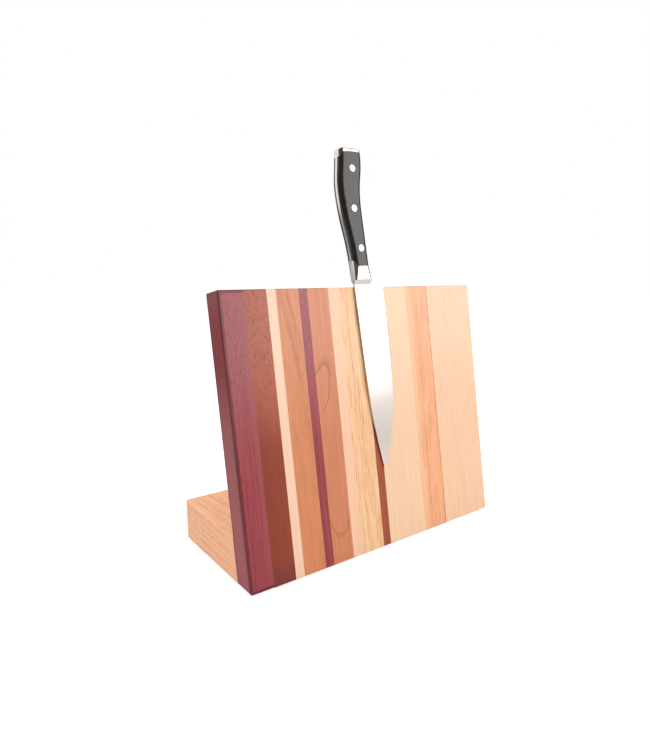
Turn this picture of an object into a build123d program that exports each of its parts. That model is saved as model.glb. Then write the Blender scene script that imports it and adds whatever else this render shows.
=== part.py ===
from build123d import *
import math
import os

# A leaning knife board with one knife on it, in millimetres.
# Origin at the middle of the footprint, on the table. +Z up, the board's face looks to -Y.

# Board: strips of wood glued side by side, leaning back on a base.
board_height = 254.0
board_thickness = 22.2
lean_angle = 10.0
strip_woods = ["purpleheart", "walnut", "maple", "cherry", "purpleheart", "cherry",
               "maple", "ash", "walnut", "maple", "red_oak", "maple"]
strip_widths = [23.0, 22.2, 9.2, 23.3, 9.4, 23.3, 11.6, 26.6, 9.2, 49.5, 31.5, 66.2]
top_arris = 0.8
side_arris = 0.7
foot_corner = 2.5

# Base: staves glued side by side behind the board, their front edge cut to the lean.
base_depth = 108.5
base_height = 41.0
stave_count = 3
base_arris = 1.2

# Rubber feet: square pads with sloping sides, stuck to the underside.
foot_width = 12.0
foot_proud = 1.5
foot_slope = 20.0
foot_inset = 12.0
foot_back_inset = 16.0

# Block magnets in two grooves cut from the back, each closed by a flush wooden bar.
magnet_length = 40.0
magnet_width = 20.0
magnet_thickness = 5.0
magnet_gap = 2.0
magnet_count = 6
front_skin = 3.0
groove_clearance = 0.5
rows_below_top = {"upper": 54.0, "lower": 149.0}

# Dowels between the board's back and the base.
dowels_per_stave = 2
dowel_diameter = 10.0
dowel_in_board = 13.0
dowel_in_base = 27.0
dowel_height = 24.0
dowel_clearance = 0.05
dowel_end_gap = 1.0

# Knife: where the blade's spine meets the bolster, across the board and above its top.
knife_across = 140.4
knife_above_top = 2.9
knife_tilt = 2.8
blade_gap = 0.05

# Blade: s runs from the bolster to the tip, t from the spine to the edge.
# Places along it are shares of its length. The belly's rises are from the straight edge.
blade_length = 181.0
blade_width = 37.9
heel_start = 1.2
tip_drop = 8.3
spine_straight_place = 0.497
belly_start_place = 0.138
belly_middle_place = 0.608
belly_middle_rise = 5.9
belly_end_place = 0.829
belly_end_rise = 15.1

# Grind: the blade is a wedge from its spine to its edge, and the spine thins to the tip.
spine_thickness = 2.8
belly_middle_thickness = 2.1
belly_end_thickness = 1.4
edge_thickness = 0.3
grind_beyond = 1.8

# Handle: steel tang between two scales, with a steel cap at the butt.
handle_length = 124.8
bolster_length = 15.5
butt_cap_length = 3.8
tang_thickness = 3.0
scale_thickness = 5.0
handle_rounding = 4.8
butt_arris = 1.2
scale_end_crown = 1.0
bolster_cut_along = 6.0
bolster_cut_across = 3.8
butt_cut_along = 4.0
butt_cut_across = 2.6

# The handle's spine rises to a hump and comes back at the butt; its belly is straight
# at the bolster and swells towards the butt. Places along it are shares of its length.
# Rises and widths are measured from the blade's spine line.
hump_place = 0.673
hump_rise = 5.8
hump_fall_place = 0.841
hump_fall_rise = 3.3
neck_width = 18.5
belly_straight_place = 0.545
belly_swell_place = 0.801
belly_swell_width = 23.0
butt_belly = 25.9

# Bolster: it narrows from the handle's thickness, then steps down to the blade.
bolster_neck = 3.0
bolster_neck_thickness = 8.8
bolster_neck_rounding = 2.2
bolster_flare = 20.6
bolster_blend = 2.0
bolster_blend_width = 20.6
bolster_blend_thickness = 0.8
bolster_blend_rounding = 0.3

# Rivets through the handle, ground flush with its sides.
rivet_count = 3
rivet_from_bolster = 16.9
rivet_from_butt_cap = 14.7
rivet_belly_offset = 0.9
rivet_diameter = 6.0

handle_thickness = tang_thickness + 2 * scale_thickness
board_width = sum(strip_widths)
board_foot_depth = board_thickness / math.cos(math.radians(lean_angle))
overall_depth = board_foot_depth + base_depth
left = -board_width / 2
front = -overall_depth / 2
strip_edges = [left + sum(strip_widths[:i]) for i in range(len(strip_widths) + 1)]
stave_edges = [left + board_width * i / stave_count for i in range(stave_count + 1)]

# How near a face or an edge lies to the place where it is looked for.
tolerance = 0.01

# Board frame: x across, y up the face from the foot, z out of the face.
outward = (0, -math.cos(math.radians(lean_angle)), math.sin(math.radians(lean_angle)))
board_frame = Plane(origin=(left, front, foot_proud), x_dir=(1, 0, 0), z_dir=outward)


def back_at(height):
    """Y of the board's back face, at this height above the underside."""
    return front + board_foot_depth + height * math.tan(math.radians(lean_angle))


def side_sheet(points, x):
    """A face in the plane across the object at x, from (y, z) points."""
    return Plane.YZ.offset(x) * make_face(Polyline(*points, close=True))


def foot_places():
    board_y = front + board_foot_depth / 2
    base_y = front + overall_depth - foot_back_inset
    return [(x, y) for y in (board_y, base_y) for x in (left + foot_inset, -left - foot_inset)]


def make_foot(x, y):
    """A pad that narrows from the underside down to the table."""
    pad = extrude(Rectangle(foot_width, foot_width), -foot_proud, taper=foot_slope)
    return Pos(x, y, foot_proud) * pad


def row_slot(row_height, depth):
    """A bar with round ends, let into the back of the board, that takes in a row of magnets."""
    slot = SlotCenterToCenter(row_length(), magnet_width + 2 * groove_clearance)
    place = Pos(board_width / 2, row_height, -board_thickness)
    return board_frame.location * place * extrude(slot, depth)


def row_length():
    return magnet_count * magnet_length + (magnet_count - 1) * magnet_gap


def groove(row_height):
    return row_slot(row_height, board_thickness - front_skin)


def cover_bar(row_height):
    return row_slot(row_height, board_thickness - front_skin - magnet_thickness)


def magnet_row(row_height):
    block = Box(magnet_length, magnet_width, magnet_thickness)
    first = (board_width - row_length() + magnet_length) / 2
    pitch = magnet_length + magnet_gap
    level = -front_skin - magnet_thickness / 2
    places = [Pos(first + i * pitch, row_height, level) for i in range(magnet_count)]
    return [board_frame.location * place * block for place in places]


def dowel_places():
    """How far the dowels are from the board's left side: evenly spaced along each stave."""
    spacing = board_width / stave_count / (dowels_per_stave + 1)
    return [i * board_width / stave_count + (k + 1) * spacing
            for i in range(stave_count) for k in range(dowels_per_stave)]


def dowel_rods(radius, end_gap):
    length = dowel_in_board + dowel_in_base + end_gap
    middle = -board_thickness + dowel_in_board - length / 2
    rod = Cylinder(radius, length)
    return [board_frame.location * Pos(x, dowel_height, middle) * rod for x in dowel_places()]


def without(solid, cutters):
    """The solid less the cutters that reach it."""
    box = solid.bounding_box()
    for cutter in cutters:
        other = cutter.bounding_box()
        if all(a < d and c < b for a, b, c, d in zip(box.min, box.max, other.min, other.max)):
            solid = solid - cutter
    return solid


def make_strip(index):
    """One strip of the board: the side profile with a level foot, as wide as the strip."""
    start, end = strip_edges[index], strip_edges[index + 1]
    slope = math.radians(lean_angle)
    top_front = (front + board_height * math.sin(slope), foot_proud + board_height * math.cos(slope))
    top_back = (top_front[0] + board_thickness * math.cos(slope),
                top_front[1] - board_thickness * math.sin(slope))
    outline = [(front, foot_proud), top_front, top_back, (front + board_foot_depth, foot_proud)]
    strip = extrude(side_sheet(outline, start), end - start)
    if index == 0:
        strip = ease_side(strip, start)
    elif index == len(strip_widths) - 1:
        strip = ease_side(strip, end)
    else:
        strip = fillet(strip.edges().filter_by(Axis.X).sort_by(Axis.Z)[-2:], top_arris)
    return strip


def ease_side(strip, x):
    """Round an outer strip's foot corner and its top, and chamfer its outer side."""
    foot = strip.edges().filter_by_position(Axis.Z, foot_proud - tolerance, foot_proud + tolerance)
    foot = foot.filter_by_position(Axis.X, x - tolerance, x + tolerance)
    strip = fillet(foot, foot_corner)
    strip = fillet(strip.edges().filter_by(Axis.X).sort_by(Axis.Z)[-2:], top_arris)
    side = strip.faces().filter_by_position(Axis.X, x - tolerance, x + tolerance).sort_by(SortBy.AREA)[-1]
    return chamfer(side.edges(), side_arris)


def make_stave(index):
    """One stave of the base, with its front edge cut to the board's back."""
    start, end = stave_edges[index], stave_edges[index + 1]
    top = foot_proud + base_height
    back = front + overall_depth
    outline = [(back_at(0), foot_proud), (back, foot_proud), (back, top), (back_at(base_height), top)]
    stave = extrude(side_sheet(outline, start), end - start)
    exposed = stave.edges().filter_by(Axis.X).sort_by(Axis.Y)[-2:]
    if index == 0:
        exposed += outer_edges(stave, start)
    if index == stave_count - 1:
        exposed += outer_edges(stave, end)
    return chamfer(exposed, base_arris)


def outer_edges(stave, x):
    """The edges of a stave's outer side, apart from the one against the board."""
    side = stave.edges().filter_by_position(Axis.X, x - tolerance, x + tolerance)
    return side.sort_by(Axis.Y)[1:]


# Knife frame: x along the blade to the tip, y from spine to edge, z out of the board.
# The blade's ground side lies flat on the board, so the knife rolls by the grind angle.
grind_angle = math.degrees(math.atan((spine_thickness - edge_thickness) / 2 / blade_width))
knife_frame = (board_frame.location
               * Pos(knife_across, board_height + knife_above_top, blade_gap)
               * Rot(0, 0, knife_tilt - 90)
               * Rot(-grind_angle, 0, 0)
               * Pos(0, 0, spine_thickness / 2))


def blade_blank():
    """The blade's outline cut from plate: straight edge and spine, then arcs to the tip."""
    tip = (blade_length, tip_drop)
    turn = (spine_straight_place * blade_length, 0)
    spine = [Line((heel_start, 0), turn)] + arc_chain(turn, (1, 0), [tip])
    belly_start, *belly = belly_places()
    edge = [Line((heel_start, blade_width), belly_start)] + arc_chain(belly_start, (1, 0), belly)
    heel = Line((heel_start, 0), (heel_start, blade_width))
    return extrude(make_face(spine + edge + [heel]), spine_thickness, both=True)


def belly_places():
    """Where the edge's arcs start and end, from the end of its straight stretch to the tip."""
    return [(belly_start_place * blade_length, blade_width),
            (belly_middle_place * blade_length, blade_width - belly_middle_rise),
            (belly_end_place * blade_length, blade_width - belly_end_rise),
            (blade_length, tip_drop)]


def blade_grind():
    """Wedges across the blade, from the heel to the tip, that give it its thickness."""
    heel = (heel_start, blade_width)
    thicknesses = [spine_thickness, spine_thickness, belly_middle_thickness,
                   belly_end_thickness, edge_thickness]
    wedges = [wedge(s, edge, thickness)
              for (s, edge), thickness in zip([heel] + belly_places(), thicknesses)]
    return loft(wedges, ruled=True)


def wedge(s, edge, thickness):
    """A section of the grind, which runs on a little past the blade's spine and edge."""
    slope = (thickness - edge_thickness) / blade_width
    thick = thickness + slope * grind_beyond
    thin = edge_thickness - slope * grind_beyond
    corners = [(-grind_beyond, -thick / 2), (edge + grind_beyond, -thin / 2),
               (edge + grind_beyond, thin / 2), (-grind_beyond, thick / 2)]
    return Plane.YZ.offset(s) * make_face(Polyline(*corners, close=True))


def spine_arcs():
    """The handle's spine from the bolster to the butt, as tangent arcs."""
    hump = hump_place * handle_length
    fall = hump_fall_place * handle_length
    halfway = ((bolster_length + hump) / 2, hump_rise / 2)
    places = [halfway, (hump, hump_rise), (fall, hump_fall_rise), (handle_length, 0)]
    return arc_chain((-bolster_length, 0), (-1, 0), [(-s, -rise) for s, rise in places])


def belly_arcs():
    """The handle's belly from the bolster to the butt: a straight stretch, then two arcs."""
    straight_end = (-belly_straight_place * handle_length, neck_width)
    straight = Line((-bolster_length, neck_width), straight_end)
    places = [(-belly_swell_place * handle_length, belly_swell_width), (-handle_length, butt_belly)]
    return [straight] + arc_chain(straight_end, (-1, 0), places)


def arc_chain(start, direction, places):
    arcs = []
    for place in places:
        arc = TangentArc(start, place, tangent=direction)
        arcs.append(arc)
        start = place
        direction = arc % 1
    return arcs


def handle_side():
    """The handle's outline, seen on its flat side, from the bolster to the butt."""
    spine = spine_arcs()
    belly = belly_arcs()
    bolster_end = Line(spine[0] @ 0, belly[0] @ 0)
    butt_end = Line(spine[-1] @ 1, belly[-1] @ 1)
    return make_face(spine + belly + [bolster_end, butt_end])


def is_long_edge(edge):
    """Whether an edge of the handle runs along its spine or belly, and not across it."""
    middle = edge @ 0.5
    between_ends = -handle_length + tolerance < middle.X < -bolster_length - tolerance
    return between_ends and abs(middle.Z) > tolerance


def cross_section(s, width, thickness, rounding):
    """A rounded oblong across the knife at s, from the spine line towards the edge."""
    oblong = RectangleRounded(width, thickness, rounding)
    return Plane.YZ.offset(s) * Pos(width / 2, 0, 0) * oblong


def make_handle_form():
    """The outer form of the handle, bolster and butt as one piece."""
    form = extrude(handle_side(), handle_thickness / 2, both=True)
    form = fillet(form.edges().filter_by(is_long_edge), handle_rounding)
    butt_face = form.faces().sort_by(Axis.X)[0]
    form = chamfer(butt_face.edges(), butt_arris)
    end = cross_section(-bolster_length, neck_width, handle_thickness, handle_rounding)
    neck = cross_section(-bolster_neck, bolster_flare, bolster_neck_thickness, bolster_neck_rounding)
    blend = cross_section(bolster_blend, bolster_blend_width, bolster_blend_thickness,
                          bolster_blend_rounding)
    return form + loft([end, neck], ruled=True) + loft([neck, blend], ruled=True)


def scale_outline():
    """The outline of a scale, beyond the handle's sides, with its two spine corners cut away."""
    bolster_end = -bolster_length
    butt_end = -handle_length + butt_cap_length
    beyond = 2 * butt_belly
    crown = ThreePointArc((butt_end, butt_cut_across),
                          (butt_end - scale_end_crown, (butt_cut_across + butt_belly) / 2),
                          (butt_end, butt_belly))
    sides = Polyline((butt_end, butt_belly),
                     (butt_end, beyond),
                     (bolster_end, beyond),
                     (bolster_end, bolster_cut_across),
                     (bolster_end - bolster_cut_along, 0),
                     (bolster_end - bolster_cut_along, -beyond),
                     (butt_end + butt_cut_along, -beyond),
                     (butt_end + butt_cut_along, 0),
                     (butt_end, butt_cut_across))
    return make_face([crown, sides])


def rivet_places():
    """Along the handle's middle, a little nearer the belly."""
    first = bolster_length + rivet_from_bolster
    last = handle_length - butt_cap_length - rivet_from_butt_cap
    side = handle_side()
    places = []
    for i in range(rivet_count):
        s = -first - (last - first) * i / (rivet_count - 1)
        across = side & Line((s, -butt_belly), (s, 2 * butt_belly))
        places.append((s, across.center().Y + rivet_belly_offset))
    return places


def make_rivet(s, t):
    """A rivet as long as the handle is thick."""
    return Pos(s, t, 0) * Cylinder(rivet_diameter / 2, handle_thickness)


def make_knife():
    form = make_handle_form()
    lift = Pos(0, 0, tang_thickness / 2)
    prism = lift * extrude(scale_outline(), handle_thickness)
    front_scale = form & prism
    back_scale = form & mirror(prism, Plane.XY)
    blade = blade_blank() & blade_grind()
    forging = form - prism - mirror(prism, Plane.XY) + blade
    rivets = [make_rivet(s, t) for s, t in rivet_places()]
    for rivet in rivets:
        forging = forging - rivet
        front_scale = front_scale - rivet
        back_scale = back_scale - rivet
    return forging, front_scale, back_scale, rivets


def write(name, shape):
    solids = ShapeList(shape).solids() if isinstance(shape, list) else shape.solids()
    export_step(Compound(children=list(solids)) if len(solids) > 1 else solids[0],
                os.path.join("parts", name + ".step"))


def main():
    os.makedirs("parts", exist_ok=True)
    row_heights = {name: board_height - below for name, below in rows_below_top.items()}
    grooves = [groove(height) for height in row_heights.values()]
    dowel_holes = dowel_rods(dowel_diameter / 2 + dowel_clearance, dowel_end_gap)
    for index, wood in enumerate(strip_woods):
        strip = without(make_strip(index), grooves + dowel_holes)
        write("strip_%02d_%s" % (index + 1, wood), strip)
    for index in range(stave_count):
        write("base_stave_%d" % (index + 1), without(make_stave(index), dowel_holes))
    for name, height in row_heights.items():
        write(name + "_magnets", magnet_row(height))
        write(name + "_cover_bar", cover_bar(height))
    write("joint_dowels", dowel_rods(dowel_diameter / 2, 0))
    write("rubber_feet", [make_foot(x, y) for x, y in foot_places()])
    forging, front_scale, back_scale, rivets = make_knife()
    write("knife_forging", knife_frame * forging)
    write("handle_scale_front", knife_frame * front_scale)
    write("handle_scale_back", knife_frame * back_scale)
    write("handle_rivets", [knife_frame * rivet for rivet in rivets])


main()
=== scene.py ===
import math

import bpy
from mathutils import Matrix, Vector

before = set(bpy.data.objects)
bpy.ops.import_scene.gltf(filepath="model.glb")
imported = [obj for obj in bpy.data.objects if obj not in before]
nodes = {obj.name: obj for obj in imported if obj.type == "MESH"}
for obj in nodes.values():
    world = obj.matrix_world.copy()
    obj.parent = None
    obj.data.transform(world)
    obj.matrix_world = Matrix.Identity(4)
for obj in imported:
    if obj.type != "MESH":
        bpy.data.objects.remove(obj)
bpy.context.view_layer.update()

# The board leans back about its foot line, whose left end is given here in metres.
LEAN = math.radians(10)
FOOT_LINE = Vector((-0.1525, -0.06552, 0.0015))


# Shader building blocks

# A mix node has sockets for every kind of value. These are the places of its colours.
MIX_FIRST = 6
MIX_SECOND = 7
MIX_RESULT = 2


class NodeTree:
    """Short calls that make, fill and link the nodes of one tree."""

    def __init__(self, tree):
        self.tree = tree

    def node(self, kind, **settings):
        made = self.tree.nodes.new(kind)
        for key, value in settings.items():
            setattr(made, key, value)
        return made

    def put(self, socket, value):
        """Link a socket's output or set a plain value."""
        if isinstance(value, bpy.types.NodeSocket):
            self.tree.links.new(value, socket)
        else:
            socket.default_value = value

    def fill(self, made, *values):
        """Put values into a node's first inputs, in order."""
        for socket, value in zip(made.inputs, values):
            self.put(socket, value)
        return made

    def math(self, operation, *values):
        return self.fill(self.node("ShaderNodeMath", operation=operation), *values).outputs[0]

    def vector(self, operation, *values):
        made = self.fill(self.node("ShaderNodeVectorMath", operation=operation), *values)
        return made.outputs["Vector"]

    def measure(self, operation, *values):
        """The number that a vector operation gives, such as a length."""
        made = self.fill(self.node("ShaderNodeVectorMath", operation=operation), *values)
        return made.outputs["Value"]

    def combine(self, x, y, z):
        return self.fill(self.node("ShaderNodeCombineXYZ"), x, y, z).outputs[0]

    def split(self, vector):
        return self.fill(self.node("ShaderNodeSeparateXYZ"), vector).outputs

    def noise(self, vector, scale, detail=2.0, roughness=0.5, distortion=0.0):
        """A noise field; scale is one number, or three for stretched noise."""
        if isinstance(scale, tuple):
            vector = self.vector("MULTIPLY", vector, scale)
            scale = 1.0
        made = self.node("ShaderNodeTexNoise")
        self.put(made.inputs["Vector"], vector)
        made.inputs["Scale"].default_value = scale
        made.inputs["Detail"].default_value = detail
        made.inputs["Roughness"].default_value = roughness
        made.inputs["Distortion"].default_value = distortion
        return made.outputs["Fac"]

    def remap(self, value, low, high, to_low=0.0, to_high=1.0, smooth=False):
        made = self.node("ShaderNodeMapRange")
        if smooth:
            made.interpolation_type = "SMOOTHSTEP"
        return self.fill(made, value, low, high, to_low, to_high).outputs[0]

    def ramp(self, value, stops):
        """Grey levels along a value; stops are (place, level)."""
        made = self.fill(self.node("ShaderNodeValToRGB"), value)
        elements = made.color_ramp.elements
        while len(elements) < len(stops):
            elements.new(1.0)
        for element, (place, level) in zip(elements, stops):
            element.position = place
            element.color = (level, level, level, 1.0)
        return made.outputs[0]

    def mix(self, factor, first, second, blend="MIX"):
        """Two colours mixed; each is a socket, or three numbers."""
        made = self.node("ShaderNodeMix", data_type="RGBA", blend_type=blend, clamp_factor=True)
        self.put(made.inputs[0], factor)
        for place, colour in ((MIX_FIRST, first), (MIX_SECOND, second)):
            linked = isinstance(colour, bpy.types.NodeSocket)
            self.put(made.inputs[place], colour if linked else (*colour, 1.0))
        return made.outputs[MIX_RESULT]

    def shade(self, colour, factor):
        """The colour made lighter or darker by a factor."""
        return self.mix(1.0, colour, self.combine(factor, factor, factor), blend="MULTIPLY")

    def bump(self, height, distance, strength):
        made = self.node("ShaderNodeBump")
        made.inputs["Strength"].default_value = strength
        made.inputs["Distance"].default_value = distance
        self.put(made.inputs["Height"], height)
        return made.outputs[0]


class Shader(NodeTree):
    """A material with one Principled surface."""

    def __init__(self, name):
        self.material = bpy.data.materials.new(name)
        self.material.use_nodes = True
        super().__init__(self.material.node_tree)
        self.tree.nodes.clear()
        self.surface = self.node("ShaderNodeBsdfPrincipled")
        output = self.node("ShaderNodeOutputMaterial")
        self.tree.links.new(self.surface.outputs[0], output.inputs["Surface"])

    def coat(self, colour, roughness, normal):
        """Give the surface its looks, and the finished material back."""
        self.put(self.surface.inputs["Base Color"], colour)
        self.put(self.surface.inputs["Roughness"], roughness)
        self.put(self.surface.inputs["Normal"], normal)
        return self.material


def srgb(red, green, blue):
    """A linear colour from 0 to 255 display levels."""
    levels = [level / 255 for level in (red, green, blue)]
    return tuple(v / 12.92 if v <= 0.04045 else ((v + 0.055) / 1.055) ** 2.4 for v in levels)


# Frames for the grain and the grind: an origin and three axes, with coordinates in millimetres.

def axes(origin, x_axis, y_axis, z_axis):
    return [Vector(v) for v in (origin, x_axis, y_axis, z_axis)]


MM_PER_METRE = 1000
UP_BOARD = Vector((0, math.sin(LEAN), math.cos(LEAN)))
INTO_BOARD = Vector((0, math.cos(LEAN), -math.sin(LEAN)))
ACROSS = Vector((1, 0, 0))
BOARD = axes(FOOT_LINE, ACROSS, INTO_BOARD, UP_BOARD)
BOARD_CROSSWISE = axes(FOOT_LINE, UP_BOARD, INTO_BOARD, ACROSS)
BOARD_SIZE = (305.0, 22.2, 254.0)
HALF_HEIGHT = BOARD_SIZE[2] / 2
BASE = axes((-0.1525, -0.043, 0.0015), (1, 0, 0), (0, 0, 1), (0, 1, 0))
DOWEL = axes(FOOT_LINE, ACROSS, UP_BOARD, INTO_BOARD)


def coordinates(shader, place):
    """A point's coordinates in a frame, as one vector, in millimetres."""
    origin, *directions = place
    point = shader.node("ShaderNodeTexCoord").outputs["Object"]
    arm = shader.vector("SUBTRACT", point, origin)
    parts = [shader.measure("DOT_PRODUCT", arm, axis * MM_PER_METRE) for axis in directions]
    return shader.combine(*parts)


def facing(shader, axis):
    """1 on faces that look along an axis, either way, and 0 on faces beside it."""
    normal = shader.node("ShaderNodeTexCoord").outputs["Normal"]
    along = shader.math("ABSOLUTE", shader.measure("DOT_PRODUCT", normal, axis))
    return shader.remap(along, 0.6, 0.95, smooth=True)


def edge_shade_mask(shader, point, size, reach):
    """Painted shade along the arrises: 1 at the outer edges of a block of this size, fading out over
    a millimetre or so.
    """
    near = []
    for value, length in zip(shader.split(point), size):
        near.append(shader.math("MINIMUM", value, shader.math("SUBTRACT", length, value)))
    pairs = [shader.math("MAXIMUM", near[i], near[j]) for i, j in ((0, 1), (1, 2), (0, 2))]
    nearest = shader.math("MINIMUM", shader.math("MINIMUM", pairs[0], pairs[1]), pairs[2])
    ragged = shader.math("ADD", nearest, shader.noise(point, EDGE_SHADE_NOISE, detail=3))
    return shader.remap(ragged, reach, reach + 1.0, 1.0, 0.0, smooth=True)


# Wood: growth rings round a pith that may lie aside and lean, so that every face of a piece
# shows the same tree. The grain runs along a frame's last axis. Lengths are in millimetres.
# A profile says how dark a ring is from its start to its end.

SOFT_RING = [(0.0, 0.2), (0.1, 0.0), (0.55, 0.12), (0.9, 1.0), (1.0, 0.5)]
OPEN_RING = [(0.0, 0.08), (0.36, 0.1), (0.44, 1.0), (0.62, 0.8), (0.74, 0.15), (1.0, 0.08)]
COMMON_LOOK = dict(profile=SOFT_RING, faintest=0.3, streak=0.05, fibre=0.05, pore_size=(0.35, 2.5),
                   pore_share=0.0, roughness=0.30, edge_reach=0.7, edge_tone=0.3)
WOODS = {
    "purpleheart": dict(early=srgb(156, 58, 65), late=srgb(130, 42, 52), pore=srgb(104, 30, 42),
                        ring=6.0, contrast=0.5, streak=0.22, fibre=0.16, pore_size=(0.4, 4.0),
                        pore_share=0.04),
    "walnut": dict(early=srgb(172, 74, 44), late=srgb(128, 48, 28), pore=srgb(92, 36, 22),
                   ring=7.0, contrast=0.45, streak=0.16, fibre=0.08, pore_size=(0.4, 3.0),
                   pore_share=0.04),
    "maple": dict(early=srgb(250, 207, 172), late=srgb(240, 188, 146), pore=srgb(226, 176, 134),
                  ring=5.0, contrast=0.18, streak=0.04, fibre=0.02),
    "cherry": dict(early=srgb(220, 138, 92), late=srgb(176, 98, 60), pore=srgb(170, 98, 62),
                   ring=9.0, contrast=0.22, streak=0.07, fibre=0.06),
    "ash": dict(early=srgb(253, 203, 156), late=srgb(200, 84, 36), pore=srgb(196, 130, 76),
                profile=OPEN_RING, ring=2.4, contrast=1.0, faintest=0.65, pore_size=(0.35, 12.0),
                pore_share=0.03, roughness=0.32),
    "red_oak": dict(early=srgb(252, 182, 134), late=srgb(202, 98, 50), pore=srgb(196, 112, 66),
                    profile=OPEN_RING, ring=3.4, contrast=0.75, pore_size=(0.35, 12.0),
                    pore_share=0.03, roughness=0.32),
    "beech": dict(early=srgb(232, 186, 142), late=srgb(214, 160, 116), pore=srgb(170, 116, 78),
                  ring=3.0, contrast=0.4, pore_size=(0.3, 2.0), pore_share=0.1, roughness=0.5),
}

# Noise scales per millimetre, stretched along the last axis.
EDGE_SHADE_NOISE = (0.3, 0.3, 0.12)
STREAK_NOISE = (0.5, 0.5, 0.014)
FIBRE_NOISE = (2.4, 2.4, 0.06)
RING_PATCH_NOISE = (0.3, 0.3, 0.045)
PORE_PATCH_NOISE = (0.12, 0.12, 0.02)

# How the rings wander from true circles: noise scales, each with its width in millimetres.
RING_WANDER = [((0.05, 0.05, 0.010), 5.0), ((0.17, 0.17, 0.012), 3.0), ((0.1, 0.1, 0.06), 1.3)]

# How far a material's noise is moved along each axis for each step of its seed.
SEED_STEP = Vector((13.0, 7.0, 31.0))

PORE_DARKNESS = 0.8
END_GRAIN_DARKNESS = 0.45
WOOD_IOR = 1.46
GRAIN_DEPTH = 0.0001


def wood(name, kind, place, pith, tilt=(0, 0), middle=HALF_HEIGHT, wobble=1.0, figures=(),
         size=None, **changes):
    """A material of one kind of wood, cut from its own place in the tree."""
    look = {**COMMON_LOOK, **WOODS[kind], **changes}
    shader = Shader(name)
    point = coordinates(shader, place)
    seed = sum(ord(letter) for letter in name) % 97
    field = shader.vector("ADD", point, SEED_STEP * seed)
    ring = growth_rings(shader, point, field, pith, tilt, middle, wobble, look["ring"])
    colour = ring_tones(shader, field, ring, look)
    streak = shader.noise(field, STREAK_NOISE, detail=3)
    fibre = shader.noise(field, FIBRE_NOISE, detail=3, roughness=0.65)
    for grain, amount in ((streak, look["streak"]), (fibre, look["fibre"])):
        colour = shader.shade(colour, shader.remap(grain, 0.3, 0.7, 1 - amount, 1 + amount))
    for figure in figures:
        colour = figure(shader, point, field, colour)
    pores = pore_mask(shader, field, look)
    colour = shader.mix(shader.math("MULTIPLY", pores, PORE_DARKNESS), colour, look["pore"])
    ends = shader.math("MULTIPLY", facing(shader, place[3]), END_GRAIN_DARKNESS)
    colour = shader.mix(ends, colour, look["late"], blend="MULTIPLY")
    if size:
        # Painted shade darkens the board's outer arrises.
        worn = edge_shade_mask(shader, point, size, look["edge_reach"])
        worn = shader.math("MULTIPLY", worn, look["edge_tone"])
        colour = shader.mix(worn, colour, look.get("worn_tone", look["pore"]))
    rough = shader.remap(fibre, 0.3, 0.7, look["roughness"] - 0.04, look["roughness"] + 0.05)
    rough = shader.math("MULTIPLY_ADD", pores, 0.15, rough)
    height = shader.math("SUBTRACT", shader.math("MULTIPLY", fibre, 0.35), pores)
    shader.surface.inputs["IOR"].default_value = WOOD_IOR
    return shader.coat(colour, rough, shader.bump(height, GRAIN_DEPTH, 0.5))


def growth_rings(shader, point, field, pith, tilt, middle, wobble, spacing):
    """How many rings lie between a point and the pith."""
    x, y, z = shader.split(point)
    along = shader.math("SUBTRACT", z, middle)
    arms = []
    for value, start, slope, turn in zip((x, y), pith, tilt, (0.0, 40.0)):
        centre = shader.math("MULTIPLY_ADD", along, slope, start)
        moved = shader.vector("ADD", field, (turn, turn, turn))
        arm = shader.math("SUBTRACT", value, centre)
        for scale, amount in RING_WANDER:
            wander = shader.math("SUBTRACT", shader.noise(moved, scale), 0.5)
            arm = shader.math("MULTIPLY_ADD", wander, wobble * amount, arm)
        arms.append(arm)
    reach = shader.measure("LENGTH", shader.combine(arms[0], arms[1], 0.0))
    return shader.math("DIVIDE", reach, spacing)


def ring_tones(shader, field, ring, look):
    """Early and late wood by the ring's profile, some rings bolder than others."""
    late = shader.ramp(shader.math("FRACT", ring), look["profile"])
    vary = shader.node("ShaderNodeTexWhiteNoise", noise_dimensions="1D")
    shader.put(vary.inputs["W"], shader.math("FLOOR", ring))
    boldest = look["contrast"]
    bold = shader.remap(vary.outputs["Value"], 0, 1, look["faintest"] * boldest, boldest)
    patch = shader.noise(field, RING_PATCH_NOISE, detail=3)
    patch = shader.remap(patch, 0.32, 0.62, 0.15, 1.0)
    amount = shader.math("MULTIPLY", shader.math("MULTIPLY", late, bold), patch)
    return shader.mix(amount, look["early"], look["late"])


def pore_mask(shader, field, look):
    """Open pores: short dark dashes along the grain."""
    width, length = look["pore_size"]
    dash = shader.noise(field, (1 / width, 1 / width, 1 / length), detail=1)
    patch = shader.noise(field, PORE_PATCH_NOISE)
    limit = shader.math("MULTIPLY_ADD", patch, -0.16, 0.80 - look["pore_share"])
    return shader.remap(shader.math("SUBTRACT", dash, limit), 0.0, 0.08)


# Figures, and painted shade and sheen, that only some strips have. Each takes the colour so far and
# gives it back changed.
# These are their noise scales, per millimetre.

CURL_NOISE = (0.95, 0.95, 0.32)
DASH_NOISE = (0.8, 0.8, 0.34)
GROUP_NOISE = (0.22, 0.22, 0.07)
RAGGED_NOISE = (0.3, 0.3, 0.006)
SOFT_PATCH_NOISE = (0.14, 0.14, 0.024)
WAVE_NOISE = (0.0, 0.0, 0.03)
BROKEN_NOISE = (0.6, 0.6, 0.12)
SWAY_NOISE = (0.0, 0.0, 0.05)
DIP_NOISE = (0.16, 0.0, 0.02)


def squiggles(low, high, dark, light, amount):
    """A painted sheen that lightens the wood above a height, with fine curled dark grain in it."""
    def figure(shader, point, field, colour):
        here = shader.remap(shader.split(point)[2], low, high, 0.0, amount)
        curl = shader.noise(field, CURL_NOISE, detail=3, distortion=1.6)
        curls = shader.math("MULTIPLY", shader.remap(curl, 0.50, 0.62), here)
        # Painted sheen: the wood lightened above the height.
        colour = shader.mix(shader.math("MULTIPLY", here, 0.8), colour, light)
        return shader.mix(curls, colour, dark)
    return figure


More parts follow.
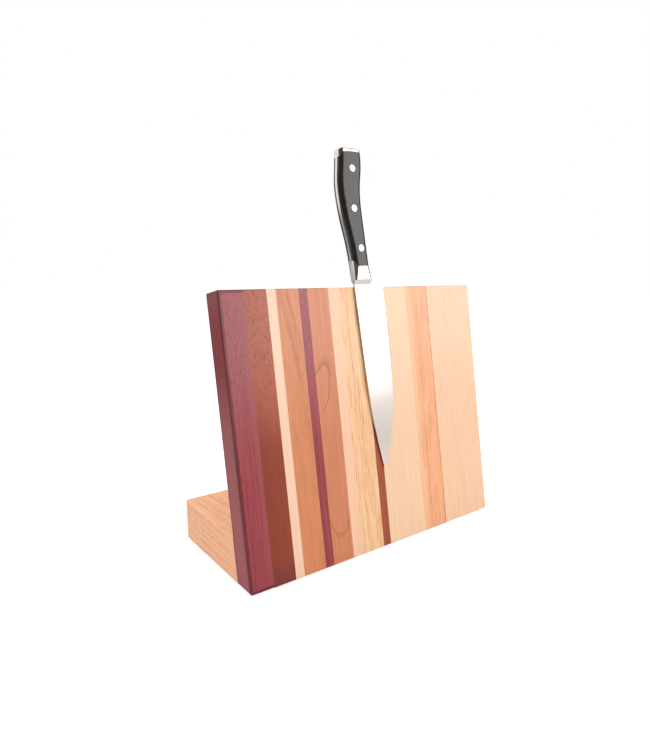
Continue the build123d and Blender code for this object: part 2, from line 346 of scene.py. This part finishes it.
def clusters(low, high, dark, light, amount):
    """A painted sheen that lightens the wood above a height, with short dark dashes gathered in
    slanting groups.
    """
    def figure(shader, point, field, colour):
        x, y, z = shader.split(field)
        right = shader.math("MULTIPLY_ADD", z, 0.5, x)
        up = shader.math("MULTIPLY_ADD", x, -0.3, z)
        group = shader.noise(shader.combine(right, y, up), GROUP_NOISE)
        group = shader.remap(group, 0.36, 0.56, 0.25, 1.0)
        here = shader.remap(shader.split(point)[2], low, high, 0.0, amount)
        # Painted sheen: the wood lightened above the height.
        colour = shader.mix(shader.math("MULTIPLY", here, 0.7), colour, light)
        dash = shader.noise(field, DASH_NOISE, detail=3, distortion=0.8)
        dashes = shader.math("MULTIPLY", shader.remap(dash, 0.50, 0.60), group)
        return shader.mix(shader.math("MULTIPLY", dashes, here), colour, dark)
    return figure


def fade(axis, start, end, tone, amount):
    """A tone that comes in along one axis, 0 across the strip and 2 up it, with ragged streaks."""
    def figure(shader, point, field, colour):
        streak = shader.noise(field, RAGGED_NOISE, detail=3)
        ragged = shader.math("SUBTRACT", streak, 0.5)
        here = shader.math("MULTIPLY_ADD", ragged, 16.0, shader.split(point)[axis])
        return shader.mix(shader.remap(here, start, end, 0.0, amount, smooth=True), colour, tone)
    return figure


def patches(tone, amount):
    """Soft patches of another tone, long along the grain."""
    def figure(shader, point, field, colour):
        patch = shader.noise(field, SOFT_PATCH_NOISE)
        return shader.mix(shader.remap(patch, 0.5, 0.66, 0.0, amount), colour, tone)
    return figure


def line(across, width, tone, amount, lean=0.0, low=-30):
    """One long thin line up the strip, which comes in over 30 mm from a height, a little wavy."""
    def figure(shader, point, field, colour):
        x, _, z = shader.split(point)
        wave = shader.math("SUBTRACT", shader.noise(field, WAVE_NOISE), 0.5)
        away = shader.math("MULTIPLY_ADD", wave, 3.0, shader.math("SUBTRACT", x, across))
        away = shader.math("ABSOLUTE", shader.math("MULTIPLY_ADD", z, lean, away))
        broken = shader.remap(shader.noise(field, BROKEN_NOISE), 0.35, 0.6, 0.3, 1.0)
        here = shader.math("MULTIPLY", shader.remap(away, width / 2, width, amount, 0.0), broken)
        here = shader.math("MULTIPLY", here, shader.remap(z, low, low + 30))
        return shader.mix(here, colour, tone)
    return figure


def flame(across, up, half_width, half_height, tone, wave, drift=0.0, low_part=False):
    """A ring's outline like a flame, open at its foot, with a soft dark haze outside its top.

    The low part is only the foot of one."""
    def figure(shader, point, field, colour):
        x, _, z = shader.split(point)
        rise = shader.math("SUBTRACT", z, up)
        sway = shader.math("SUBTRACT", shader.noise(point, SWAY_NOISE, detail=3), 0.5)
        dip = shader.math("SUBTRACT", shader.noise(point, DIP_NOISE, detail=3), 0.5)
        x = shader.math("MULTIPLY_ADD", sway, wave, shader.math("SUBTRACT", x, across))
        u = shader.math("DIVIDE", shader.math("MULTIPLY_ADD", rise, drift, x), half_width)
        v = shader.math("DIVIDE", shader.math("MULTIPLY_ADD", dip, wave, rise), half_height)
        reach = shader.measure("LENGTH", shader.combine(u, v, 0.0))
        beyond = shader.math("SUBTRACT", reach, 1.0)
        here = shader.remap(shader.math("ABSOLUTE", beyond), 0.03, 0.12, 0.6, 0.0)
        if low_part:
            here = shader.math("MULTIPLY", here, shader.remap(v, -0.5, -0.2, 0.55, 0.0))
        else:
            haze = shader.remap(beyond, 0.0, 0.4, 0.45, 0.0)
            haze = shader.math("MULTIPLY", haze, shader.remap(beyond, -0.02, 0.0))
            haze = shader.math("MULTIPLY", haze, shader.remap(v, 0.0, 0.8))
            here = shader.math("MULTIPLY", here, shader.remap(v, -1.0, -0.5))
            here = shader.math("MAXIMUM", here, haze)
        return shader.mix(here, colour, tone)
    return figure


def side_face_shade(amount, low_tone, high_tone):
    """Painted shade on the strip's side face, darker towards its top."""
    def figure(shader, point, field, colour):
        side = shader.math("MULTIPLY", facing(shader, ACROSS), amount)
        rise = shader.remap(shader.split(point)[2], 60, 190, smooth=True)
        return shader.mix(side, colour, shader.mix(rise, low_tone, high_tone))
    return figure


# One cut for each strip: the pith's place across and behind the face, and how it leans.

def strip(name, kind, pith, tilt=(0, 0), **changes):
    return wood(name, kind, BOARD, pith, tilt, size=BOARD_SIZE, **changes)


DARK_CHERRY = srgb(160, 86, 52)
DARK_PLUM = srgb(108, 42, 50)
STRIPS = {
    # Strip 1 carries painted shade: a strong dark line along its arrises and a side face darker
    # towards its top, with a painted sheen at its top.
    "strip_01_purpleheart": strip("purpleheart_1", "purpleheart", (-60, 90), (0.04, 0.1),
                                  edge_reach=2.8, edge_tone=0.95, worn_tone=srgb(110, 24, 32),
                                  figures=[squiggles(95, 185, DARK_PLUM, srgb(178, 88, 92), 0.7),
                                           fade(0, 14, 22, srgb(172, 78, 84), 0.45),
                                           side_face_shade(0.9, srgb(148, 49, 57), srgb(124, 26, 34))]),
    "strip_02_walnut": strip("walnut_2", "walnut", (20, 75), (0.10, 0.12), wobble=2.0,
                             figures=[fade(0, 42, 25, srgb(140, 54, 30), 0.65),
                                      fade(2, 165, 110, srgb(134, 44, 8), 0.65),
                                      fade(2, 30, 0, srgb(100, 44, 36), 0.5),
                                      clusters(120, 185, srgb(106, 46, 26), srgb(198, 98, 62), 0.7)]),
    "strip_03_maple": strip("maple_3", "maple", (90, 60), (0.02, 0), early=srgb(253, 212, 182)),
    "strip_04_cherry": strip("cherry_4", "cherry", (40, 60), (-0.10, 0.12), wobble=1.6,
                             figures=[line(96.5, 3.0, DARK_CHERRY, 0.4, lean=0.15, low=160),
                                      line(111, 2.0, DARK_CHERRY, 0.35, lean=0.18, low=180),
                                      line(84, 4.0, DARK_CHERRY, 0.2, lean=0.07, low=30)]),
    "strip_05_purpleheart": strip("purpleheart_5", "purpleheart", (140, 60), (0.02, 0),
                                  figures=[squiggles(130, 210, DARK_PLUM, srgb(184, 92, 98), 0.4)]),
    "strip_06_cherry": strip("cherry_6", "cherry", (140, 90), (0.05, 0.05), contrast=0.1,
                             early=srgb(214, 132, 92), streak=0.09,
                             figures=[flame(91, 161, 10, 24, DARK_CHERRY, 9, drift=-0.3),
                                      flame(98.5, 50, 12, 25, DARK_CHERRY, 4, low_part=True)]),
    "strip_07_maple": strip("maple_7", "maple", (40, 60), (0.02, 0), early=srgb(251, 203, 169)),
    "strip_08_ash": strip("ash_8", "ash", (-180, 60), (0.01, 0), wobble=1.3,
                          figures=[patches(srgb(255, 220, 168), 0.5)]),
    "strip_09_walnut": strip("walnut_9", "walnut", (260, 60), (0.02, 0), early=srgb(168, 76, 44)),
    "strip_10_maple": strip("maple_10", "maple", (120, 80), (0.05, 0.12),
                            early=srgb(250, 209, 172)),
    "strip_11_red_oak": strip("red_oak_11", "red_oak", (-60, 60), (0.01, 0), wobble=0.8,
                              figures=[patches(srgb(255, 200, 154), 0.4),
                                       line(219, 1.2, srgb(196, 108, 62), 0.35),
                                       line(237.9, 1.0, srgb(176, 96, 58), 0.6),
                                       fade(0, 216, 207, srgb(251, 204, 160), 0.7)]),
    "strip_12_maple": strip("maple_12", "maple", (290, 60), (0.06, 0.15), wobble=3.0,
                            early=srgb(250, 204, 169), streak=0.05,
                            figures=[patches(srgb(240, 190, 148), 0.3)]),
}


def stave(name, pith, tilt):
    """Plainer oak for the base, with its grain from front to back."""
    return wood(name, "red_oak", BASE, pith, tilt, middle=50, wobble=0.5, profile=SOFT_RING,
                ring=4.0, contrast=0.6, faintest=0.5, early=srgb(251, 187, 140),
                late=srgb(216, 132, 84), pore=srgb(212, 138, 96), pore_size=(0.4, 16.0),
                pore_share=0.12)


STAVES = {
    "base_stave_1": stave("base_oak_1", (40, -14), (0.03, 0.05)),
    "base_stave_2": stave("base_oak_2", (150, 90), (0.03, -0.1)),
    "base_stave_3": stave("base_oak_3", (260, -50), (-0.04, 0.1)),
}


# Knife frame: x along the blade to the tip, y from spine to edge, z out of the board. Its
# origin is given by lengths across and up the board, in metres.

KNIFE_TILT = math.radians(2.8)
KNIFE_ACROSS = 0.1404
KNIFE_HEIGHT = 0.2569
KNIFE_ORIGIN = FOOT_LINE + ACROSS * KNIFE_ACROSS + UP_BOARD * KNIFE_HEIGHT
TO_TIP = -UP_BOARD * math.cos(KNIFE_TILT) + ACROSS * math.sin(KNIFE_TILT)
KNIFE = axes(KNIFE_ORIGIN, TO_TIP, (-INTO_BOARD).cross(TO_TIP), -INTO_BOARD)

# Noise scales per millimetre, in the knife's frame.
GRIND_ACROSS = (3.0, 0.05, 1.0)
GRIND_ALONG = (0.03, 4.0, 4.0)

GRIND_DEPTH = 0.000015
BLADE_EDGE_SHADE = (0.14, 0.11, 0.09)
PLASTIC_IOR = 1.45


def times(colour, factor):
    return tuple(factor * level for level in colour)


def steel(name, colour, roughness, grind, across=False, bevel=False):
    """Satin steel with fine grinding lines along or across the knife, and faint handling marks; with
    bevel, a painted shadow and dark reflection along the cutting edge.
    """
    shader = Shader(name)
    point = coordinates(shader, KNIFE)
    lines = shader.noise(point, GRIND_ACROSS if across else GRIND_ALONG, detail=4, roughness=0.7)
    cloud = shader.noise(point, 0.05, detail=3)
    tone = shader.mix(shader.remap(cloud, 0.3, 0.7), colour, times(colour, 0.94))
    if bevel:
        # Painted shadow and dark reflection on the narrow bevel along the cutting edge.
        blade_edge_shade = shader.math("MULTIPLY", honed_edge(shader, point), 0.9)
        tone = shader.mix(blade_edge_shade, tone, BLADE_EDGE_SHADE)
    wear = shader.math("MULTIPLY_ADD", cloud, 0.08, roughness - 0.04)
    rough = shader.math("MULTIPLY_ADD", lines, grind, wear)
    shader.surface.inputs["Metallic"].default_value = 1.0
    return shader.coat(tone, rough, shader.bump(lines, GRIND_DEPTH, 0.25))


def honed_edge(shader, point):
    """1 on the narrow bevel along the cutting edge, where the blade is thinnest."""
    along, _, height = shader.split(point)
    on_blade = shader.remap(along, 4.0, 6.0)
    return shader.math("MULTIPLY", on_blade, shader.remap(height, 0.42, 0.50, 1.0, 0.0))


def moulded(name, colour, roughness, grain):
    """Moulded plastic or rubber: a fine skin, slightly uneven gloss."""
    shader = Shader(name)
    point = coordinates(shader, KNIFE)
    skin = shader.noise(point, 3.5, detail=3)
    cloud = shader.noise(point, 0.09, detail=3)
    tone = shader.mix(shader.remap(cloud, 0.3, 0.7), colour, times(colour, 1.35))
    rough = shader.math("MULTIPLY_ADD", cloud, 0.12, roughness - 0.06)
    shader.surface.inputs["IOR"].default_value = PLASTIC_IOR
    return shader.coat(tone, rough, shader.bump(skin, grain, 0.5))


SCALES = moulded("handle_black", (0.016, 0.0125, 0.011), 0.28, 0.00003)
MAGNETS = steel("magnet_nickel", (0.72, 0.70, 0.66), 0.25, 0.1)
NODE_MATERIALS = dict(
    STRIPS, **STAVES,
    upper_cover_bar=wood("cover_bar_upper", "maple", BOARD_CROSSWISE, (200, 60), (0.03, 0.05)),
    lower_cover_bar=wood("cover_bar_lower", "maple", BOARD_CROSSWISE, (100, 70), (-0.03, 0.05)),
    joint_dowels=wood("dowel_beech", "beech", DOWEL, (150, 24)),
    upper_magnets=MAGNETS,
    lower_magnets=MAGNETS,
    rubber_feet=moulded("foot_rubber", (0.035, 0.034, 0.034), 0.75, 0.0001),
    knife_forging=steel("knife_steel", (0.81, 0.73, 0.685), 0.18, 0.06, across=True, bevel=True),
    handle_scale_front=SCALES,
    handle_scale_back=SCALES,
    handle_rivets=steel("rivet_steel", (0.84, 0.83, 0.81), 0.22, 0.1),
)
for name, material in NODE_MATERIALS.items():
    mesh = nodes[name].data
    mesh.materials.clear()
    mesh.materials.append(material)


# Studio: white floor and surround, with the dark of the room behind the camera in reflections.
# Lengths are in metres.

KEY_SIDE = (0.62, -0.78, 0.0)
FLOOR_BACKDROP_SIDE = (-0.62, 0.78, 0.0)
FLOOR_REACH = 8
LIGHT_TARGET = Vector((0, 0, 0.15))


def ray_kinds(shader):
    """Two sockets: 1 for rays from the camera, and 1 for rays from reflections and glass."""
    rays = shader.node("ShaderNodeLightPath").outputs
    mirrored = shader.math("MAXIMUM", rays["Is Glossy Ray"], rays["Is Transmission Ray"])
    return rays["Is Camera Ray"], mirrored


def make_world(level, dark, backdrop_side):
    """An even white surround, at its own level for light that spreads.

    Reflections find it white towards the backdrop and the key light, dark elsewhere."""
    world = bpy.data.worlds.new("surround")
    world.use_nodes = True
    shader = NodeTree(world.node_tree)
    direction = shader.node("ShaderNodeTexCoord").outputs["Generated"]
    camera, mirrored = ray_kinds(shader)
    behind = shader.measure("DOT_PRODUCT", direction, backdrop_side)
    behind = shader.remap(behind, 0.35, 0.65, dark, 1.0, smooth=True)
    key_side = shader.measure("DOT_PRODUCT", direction, KEY_SIDE)
    key_side = shader.remap(key_side, 0.78, 0.94, dark, 0.84, smooth=True)
    room = shader.math("MAXIMUM", behind, key_side)
    strength = shader.math("MULTIPLY_ADD", camera, 1.0 - level, level)
    change = shader.math("SUBTRACT", room, level)
    strength = shader.math("MULTIPLY_ADD", mirrored, change, strength)
    background = world.node_tree.nodes["Background"]
    background.inputs["Color"].default_value = (1, 1, 1, 1)
    shader.put(background.inputs["Strength"], strength)
    bpy.context.scene.world = world


def make_floor(grey, lift):
    """A white floor that keeps the object's shadow and looks as pale as the surround.

    Reflections find it white near the object and towards the key light, dim further out,
    and white again at the backdrop far behind on the left."""
    side = FLOOR_REACH
    mesh = bpy.data.meshes.new("floor")
    corners = [(-side, -side, 0), (side, -side, 0), (side, side, 0), (-side, side, 0)]
    mesh.from_pydata(corners, [], [(0, 1, 2, 3)])
    floor = bpy.data.objects.new("floor", mesh)
    bpy.context.scene.collection.objects.link(floor)
    material = bpy.data.materials.new("floor_white")
    material.use_nodes = True
    material.node_tree.nodes.clear()
    shader = NodeTree(material.node_tree)
    place = shader.node("ShaderNodeTexCoord").outputs["Object"]
    camera, mirrored = ray_kinds(shader)
    away = shader.remap(shader.measure("LENGTH", place), 0.5, 1.1, smooth=True)
    backdrop = shader.measure("DOT_PRODUCT", place, FLOOR_BACKDROP_SIDE)
    backdrop = shader.remap(backdrop, 4.4, 5.2, 0.24, 1.0, smooth=True)
    key_side = shader.measure("DOT_PRODUCT", place, KEY_SIDE)
    key_side = shader.remap(key_side, 0.15, 0.7, 0.0, 0.65, smooth=True)
    dimming = shader.math("MULTIPLY", mirrored, away)
    tone = shader.math("MULTIPLY_ADD", dimming, -0.95 * grey, grey)
    found = shader.math("MULTIPLY", mirrored, shader.math("MAXIMUM", backdrop, key_side))
    diffuse = shader.node("ShaderNodeBsdfDiffuse")
    shader.put(diffuse.inputs["Color"], tone)
    glow = shader.node("ShaderNodeEmission")
    shader.put(glow.inputs["Strength"], shader.math("MULTIPLY_ADD", camera, lift, found))
    both = shader.fill(shader.node("ShaderNodeAddShader"), diffuse.outputs[0], glow.outputs[0])
    output = shader.node("ShaderNodeOutputMaterial")
    shader.put(output.inputs["Surface"], both.outputs[0])
    mesh.materials.append(material)


def soft_light(name, azimuth, elevation, distance, size, radiance, colour=(1, 1, 1)):
    """A rectangular soft light, placed by angles round the object and pointed at it.

    The azimuth is in degrees from the front, -Y, towards +X."""
    turn, rise = math.radians(azimuth), math.radians(elevation)
    flat = math.cos(rise)
    away = Vector((math.sin(turn) * flat, -math.cos(turn) * flat, math.sin(rise)))
    width, height = size
    data = bpy.data.lights.new(name, "AREA")
    data.shape = "RECTANGLE"
    data.size = width
    data.size_y = height
    data.energy = radiance * math.pi * width * height
    data.color = colour
    light = bpy.data.objects.new(name, data)
    light.location = LIGHT_TARGET + away * distance
    light.rotation_euler = (-away).to_track_quat("-Z", "Y").to_euler()
    light.visible_camera = False
    bpy.context.scene.collection.objects.link(light)


make_world(level=0.56, dark=0.06, backdrop_side=(-0.3, 0.95, 0.0))
make_floor(grey=0.6, lift=0.7)
soft_light("key", 40, 23, distance=2.2, size=(1.7, 1.4), radiance=3.75, colour=(1.0, 0.98, 0.955))
soft_light("top", -128, 60, distance=2.1, size=(1.3, 1.3), radiance=4.2)
soft_light("fill", -95, -3, distance=0.8, size=(0.7, 0.16), radiance=2.2)


# Camera at the photograph's place, which the board's edges gave.

def make_camera():
    """The angles are the turn from +Y, the tilt down and the roll."""
    yaw, pitch, roll = math.radians(-36.93), math.radians(11.545), math.radians(0.351)
    flat = math.cos(pitch)
    forward = Vector((-math.sin(yaw) * flat, math.cos(yaw) * flat, -math.sin(pitch)))
    level = Vector((math.cos(yaw), math.sin(yaw), 0))
    upward = level.cross(forward)
    right = level * math.cos(roll) + upward * math.sin(roll)
    above = upward * math.cos(roll) - level * math.sin(roll)
    data = bpy.data.cameras.new("camera")
    data.sensor_width = 36
    data.lens = 27.109
    data.shift_x = -0.0092
    data.shift_y = 0.0116
    camera = bpy.data.objects.new("camera", data)
    camera.matrix_world = Matrix((right, above, -forward)).transposed().to_4x4()
    camera.location = (-0.35424, -0.44406, 0.26912)
    bpy.context.scene.collection.objects.link(camera)
    bpy.context.scene.camera = camera


make_camera()
bpy.context.scene.view_settings.view_transform = "Standard"
